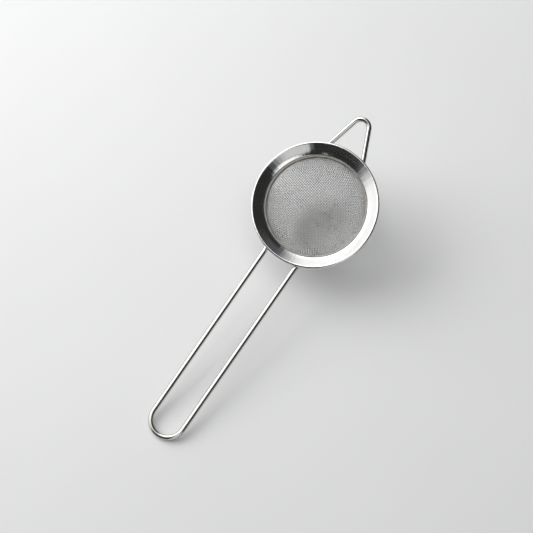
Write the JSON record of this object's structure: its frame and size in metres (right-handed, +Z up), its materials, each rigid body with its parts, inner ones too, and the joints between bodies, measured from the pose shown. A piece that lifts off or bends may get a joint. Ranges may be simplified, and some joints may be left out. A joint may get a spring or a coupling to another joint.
{
  "type": "tea strainer",
  "caption": "Hemispherical woven wire cloth bowl clamped in a flared rolled-rim collar, with a long looped wire handle and a short wire cup hook opposite.",
  "frame": {"origin": "centre of the bounding box's base, on the table that the strainer lies on", "axes": "+X from the handle's end to the hook's tip along the table, +Z up from the table; the rim leans about 17 degrees towards the handle, because the strainer lies on its bowl and its handle's end"},
  "size_m": [0.2074, 0.073, 0.0498],
  "materials": {
    "collar_sheet": "pressed stainless sheet, satin polished round the rim",
    "ring_sheet": "dull pressed stainless band",
    "wire_cloth": "plain-weave stainless wire cloth, as woven",
    "polished_wire": "bright polished stainless wire",
    "weld_metal": "fused steel, faintly heat tinted"
  },
  "bodies": {
    "root": {"rim_collar": "collar_sheet", "mesh_clamp_ring": "ring_sheet", "mesh_bowl": "wire_cloth", "handle_wire": "polished_wire", "hook_wire": "polished_wire", "handle_weld_left": "weld_metal", "handle_weld_right": "weld_metal", "hook_weld_left": "weld_metal", "hook_weld_right": "weld_metal"}
  },
  "joints": []
}
